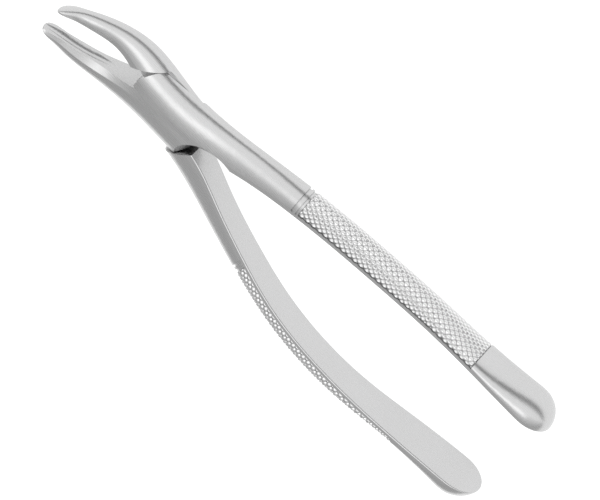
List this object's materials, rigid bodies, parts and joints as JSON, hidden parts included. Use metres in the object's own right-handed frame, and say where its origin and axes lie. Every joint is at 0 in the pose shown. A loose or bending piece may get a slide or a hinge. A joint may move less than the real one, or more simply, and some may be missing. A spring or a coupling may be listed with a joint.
{
  "type": "dental extraction forceps",
  "caption": "Dental extraction forceps: two crossed steel halves on a lap-joint pivot screw, with upcurved slender beaks, knurled arched grips and rounded handle ends.",
  "frame": {"origin": "on the pivot axis, at the level of the flat ground on the rear of the joint", "axes": "+X from the pivot to the beaks, +Z along the pivot axis, away from the screw head, so the tool lies on z = 0 with its beaks curving up"},
  "size_m": [0.1752, 0.0496, 0.0159],
  "materials": {
    "forged_steel": "satin to polished stainless steel",
    "screw_steel": "fine turned stainless steel"
  },
  "bodies": {
    "front": {"front_half": "forged_steel", "pivot_screw": "screw_steel"},
    "rear": {"rear_half": "forged_steel"}
  },
  "joints": [
    {"name": "lap_pivot", "type": "hinge", "parent": "front", "child": "rear", "pos_m": [0, 0, 0.0049], "axis": [0, 0, -1], "range_deg": [-9.5, 22]}
  ]
}
